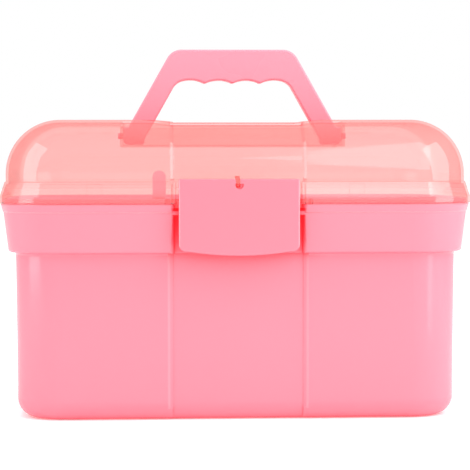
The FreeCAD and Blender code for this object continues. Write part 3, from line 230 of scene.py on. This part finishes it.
def clear_film(name, tint, haze_colour, haze=0.08, rough=0.075, edge=0.0011):
    """See-through tinted plastic. Each face of a wall tints the light by the square root of
    what the whole wall does, a little haze scatters, and the gloss rises at grazing angles."""
    m = Mat(name)
    pass_through = m.add("ShaderNodeBsdfTransparent")
    streaks = m.noise(7.0, 2.0, 0.45, stretch=(1.0, 1.0, 0.4))
    deep = [c * 0.985 for c in tint]
    thin = [min(1.0, c * 1.012) for c in tint]
    plain = m.ramp(streaks, [(0.15, deep), (0.5, tint), (0.85, thin)])
    # the walls of the handle recess are thin
    plain = m.mix(m.within((-0.0825, -0.0142, 0.1893), (0.0825, 0.0668, 0.2062)), plain,
                  tuple(c ** 0.62 for c in tint))
    # the lug in the latch's keyhole is thick
    plain = m.mix(m.within((-0.0025, -0.1015, 0.1560), (0.0007, -0.0885, 0.1690)), plain,
                  tuple(c ** 4.5 for c in tint))
    # edges are tinted deeper, partly for the plastic along them and partly as painted shade; the lower edge of the
    # flange is painted shade of the gap beneath it
    plain = m.mix(m.sharp(0.0008), plain, tuple(c ** 2.6 * 0.975 for c in tint))
    plain = m.mix(m.within((-0.2, -0.2, 0.1490), (0.2, 0.2, 0.15085)), plain, (0.86, 0.72, 0.74))
    # painted shade: a dark line along the corners at the two sides of the channel
    across = m.add("ShaderNodeSeparateXYZ")
    m.link(m.position(), across.inputs[0])
    painted_channel_corner_shade = m.span(m.maths("ABSOLUTE", m.maths("SUBTRACT", m.maths("ABSOLUTE", across.outputs["X"]), 0.0451)),
                    0.0002, 0.0007, 1.0, 0.0)
    painted_channel_corner_shade = m.maths("MULTIPLY", painted_channel_corner_shade, m.within((-0.06, -0.11, 0.152), (0.06, -0.03, 0.209)))
    plain = m.mix(painted_channel_corner_shade, plain, tuple(c * k for c, k in zip(tint, (0.95, 0.88, 0.88))))
    # light that crosses a wall at a slant has more plastic to pass
    soft_edge = m.rounded(edge)
    slant = m.add("ShaderNodeLayerWeight")
    slant.inputs["Blend"].default_value = 0.5
    m.link(soft_edge, slant.inputs["Normal"])
    more = m.ramp(slant.outputs["Facing"],
                  [(0.0, (1.0, 1.0, 1.0))] + [(at, [c ** extra for c in tint])
                                              for at, extra in ((0.45, 0.10), (0.7, 0.40), (0.85, 1.0), (0.96, 2.6))])
    product = m.add("ShaderNodeMix", data_type="RGBA", blend_type="MULTIPLY")
    product.inputs[0].default_value = 1.0
    m.link(plain, product.inputs[6])
    m.link(more, product.inputs[7])
    m.link(product.outputs[2], pass_through.inputs["Color"])
    haze_shader = m.add("ShaderNodeBsdfPrincipled")
    m.link(m.ramp(streaks, [(0.3, [c * 0.97 for c in haze_colour]), (0.7, haze_colour)]),
           haze_shader.inputs["Base Color"])
    haze_shader.inputs["Roughness"].default_value = 0.5
    haze_shader.inputs["Specular IOR Level"].default_value = 0.0
    body = m.add("ShaderNodeMixShader")
    m.link(m.span(m.noise(18.0, 4.0, 0.6), 0.3, 0.7, haze * 0.9, haze * 1.1), body.inputs["Fac"])
    m.link(pass_through.outputs[0], body.inputs[1])
    m.link(haze_shader.outputs[0], body.inputs[2])
    gloss = m.add("ShaderNodeBsdfGlossy")
    gloss.inputs["Roughness"].default_value = rough
    facing = m.add("ShaderNodeLayerWeight")
    facing.inputs["Blend"].default_value = 0.5
    wave = m.bump(m.noise(11.0, 2.0, 0.4), 0.0008, 0.35, under=soft_edge)
    grain = m.bump(m.noise(900.0, 2.0, 0.5), 0.00003, 0.4, under=wave)
    m.link(grain, gloss.inputs["Normal"])
    m.link(wave, facing.inputs["Normal"])
    m.link(grain, haze_shader.inputs["Normal"])
    power = m.maths("POWER", facing.outputs["Facing"], 5.0)
    amount = m.maths("MULTIPLY_ADD", power, 0.42)
    amount.node.inputs[2].default_value = 0.095
    # only the side that the light comes from is glossy, so nothing is lost inside a wall
    side = m.add("ShaderNodeNewGeometry")
    amount = m.maths("MULTIPLY", amount, m.maths("SUBTRACT", 1.0, side.outputs["Backfacing"]))
    top = m.add("ShaderNodeMixShader")
    m.link(amount, top.inputs["Fac"])
    m.link(body.outputs[0], top.inputs[1])
    m.link(gloss.outputs[0], top.inputs[2])
    m.link(top.outputs[0], m.out.inputs["Surface"])
    return m.mat


GAP_SHADE_RED = (0.98, 0.03, 0.045)
# painted shade: round the latch the gap is painted deep red, where the light is lost; elsewhere the outside of the tub
# is painted only a little deeper in its corners. The pink also gets the painted glow and painted edge highlights
pink = moulded("pink_plastic", (0.985, 0.176, 0.232), GAP_SHADE_RED, rough=0.12, edge=0.002, reach=0.027, glow=0.55,
               painted_gap_shade_regions=((((-0.062, -0.105, 0.070), (0.062, -0.0825, 0.1470)), 0.14, 0.74, 1.0),
                       (((-0.20, -0.20, 0.035), (0.20, 0.20, 0.1450)), 0.30, 0.95, 0.35)), painted_edge_highlight=0.5)
# handle, latch and tray: painted shade in their own gaps; the latch also gets painted highlights down its sides
handle_pink = moulded("handle_plastic", (0.985, 0.236, 0.303), GAP_SHADE_RED, rough=0.28, alone=True, reach=0.008)
latch_pink = moulded("latch_plastic", (0.985, 0.171, 0.223), GAP_SHADE_RED, rough=0.16, edge=0.0012, reach=0.006,
                     painted_gap_shade_regions=((None, 0.22, 0.85, 0.5),), painted_side_highlight_x=0.0402)
tray_pink = moulded("tray_plastic", (0.985, 0.35, 0.45), GAP_SHADE_RED, rough=0.34, alone=True, reach=0.012)
lid_clear = clear_film("clear_lid_plastic", (0.999, 0.844, 0.833), (0.99, 0.52, 0.51), haze=0.05)


def paint(node, material):
    o = NODES[node]
    o.data.materials.clear()
    o.data.materials.append(material)


paint("box_body", pink)
paint("lid", lid_clear)
paint("carry_handle", handle_pink)
paint("front_latch", latch_pink)
paint("lift_out_tray", tray_pink)
paint("latch_pin", handle_pink)
paint("lid_hinge_pin_left", pink)
paint("lid_hinge_pin_right", pink)


# ----------------------------------------------------------------------------
# Floor, light, camera
# ----------------------------------------------------------------------------
def floor():
    me = bpy.data.meshes.new("floor")
    s = 12.0
    me.from_pydata([(-s, -s, 0), (s, -s, 0), (s, s, 0), (-s, s, 0)], [], [(0, 1, 2, 3)])
    o = bpy.data.objects.new("floor", me)
    scene.collection.objects.link(o)
    m = Mat("floor_paper")
    shader = m.add("ShaderNodeBsdfPrincipled")
    m.link(m.ramp(m.noise(3.0, 3.0), [(0.3, (0.93, 0.93, 0.93)), (0.7, (0.95, 0.95, 0.95))]),
           shader.inputs["Base Color"])
    shader.inputs["Roughness"].default_value = 0.9
    shader.inputs["Specular IOR Level"].default_value = 0.1
    shader.inputs["Emission Color"].default_value = (1.0, 1.0, 1.0, 1.0)
    shader.inputs["Emission Strength"].default_value = 0.17
    m.link(m.bump(m.noise(300.0, 3.0), 0.0002, 0.3), shader.inputs["Normal"])
    m.link(shader.outputs["BSDF"], m.out.inputs["Surface"])
    me.materials.append(m.mat)


floor()

world = bpy.data.worlds.new("studio")
world.use_nodes = True
world.node_tree.nodes["Background"].inputs["Color"].default_value = (1.0, 1.0, 1.0, 1.0)
world.node_tree.nodes["Background"].inputs["Strength"].default_value = 1.0
scene.world = world


def area(name, at, towards, wide, high, power, colour=(1.0, 1.0, 1.0)):
    data = bpy.data.lights.new(name, "AREA")
    data.shape = "RECTANGLE"
    data.size, data.size_y = wide, high
    data.energy = power
    data.color = colour
    o = bpy.data.objects.new(name, data)
    o.location = at
    way = Vector(towards) - Vector(at)
    o.rotation_mode = "QUATERNION"
    o.rotation_quaternion = way.to_track_quat("-Z", "Y")
    scene.collection.objects.link(o)
    return o


def softbox(name, columns, reach, centre, radiance, steps=10):
    """Curved white sheet that glows on its inner side. Each column gives x and the lower and
    upper angle of sight, in degrees, under which the box's front sees the sheet."""
    y0, z0 = centre
    verts, faces = [], []
    for x, low, high in columns:
        for k in range(steps + 1):
            angle = math.radians(low + (high - low) * k / steps)
            verts.append((x, y0 - reach * math.cos(angle), z0 + reach * math.sin(angle)))
    for c in range(len(columns) - 1):
        for k in range(steps):
            a = c * (steps + 1) + k
            faces.append((a, a + 1, a + steps + 2, a + steps + 1))
    me = bpy.data.meshes.new(name)
    me.from_pydata(verts, [], faces)
    o = bpy.data.objects.new(name, me)
    scene.collection.objects.link(o)
    m = Mat(name)
    glow = m.add("ShaderNodeEmission")
    side = m.add("ShaderNodeNewGeometry")
    m.link(m.span(side.outputs["Backfacing"], 0.0, 1.0, radiance, 0.0), glow.inputs["Strength"])
    m.link(glow.outputs[0], m.out.inputs["Surface"])
    me.materials.append(m.mat)
    o.visible_camera = False
    return o


softbox("key_window", [(0.10, 35.0, 36.0), (0.195, 30.0, 41.0), (0.205, 20.0, 50.0), (0.40, 9.0, 72.0),
                       (1.50, 9.0, 72.0)], 1.70, (-0.08, 0.17), 2.45)
area("right_window", (1.24, -0.57, 0.72), (0.14, -0.05, 0.13), 1.10, 1.45, 12.0)
area("left_window", (-1.24, -0.50, 0.72), (-0.14, -0.05, 0.13), 0.81, 1.45, 7.2)
# low panels that the tub's rounded corners mirror
area("left_panel", (-0.93, -0.32, 0.080), (-0.144, -0.08, 0.105), 0.46, 0.10, 0.40)
area("right_panel", (0.62, -0.46, 0.055), (0.138, -0.09, 0.085), 0.14, 0.11, 0.08)
top = area("top_window", (0.0, 0.1, 1.9), (0.0, 0.0, 0.2), 1.4, 1.2, 16.0)
top.visible_glossy = False


def camera():
    data = bpy.data.cameras.new("camera")
    data.sensor_fit = "HORIZONTAL"
    data.sensor_width = 36.0
    data.lens = 1796.3 / 470.0 * 36.0
    data.clip_start, data.clip_end = 0.05, 60.0
    data.dof.use_dof = False
    o = bpy.data.objects.new("camera", data)
    scene.collection.objects.link(o)
    yaw, pitch, roll = 0.0501, 0.0392, -0.0016
    o.location = (-0.0642, -1.3208, 0.1768)
    way = Vector((math.sin(yaw) * math.cos(pitch), math.cos(yaw) * math.cos(pitch), -math.sin(pitch)))
    o.rotation_mode = "QUATERNION"
    o.rotation_quaternion = way.to_track_quat("-Z", "Y") @ Quaternion((0.0, 0.0, 1.0), roll)
    scene.camera = o


camera()
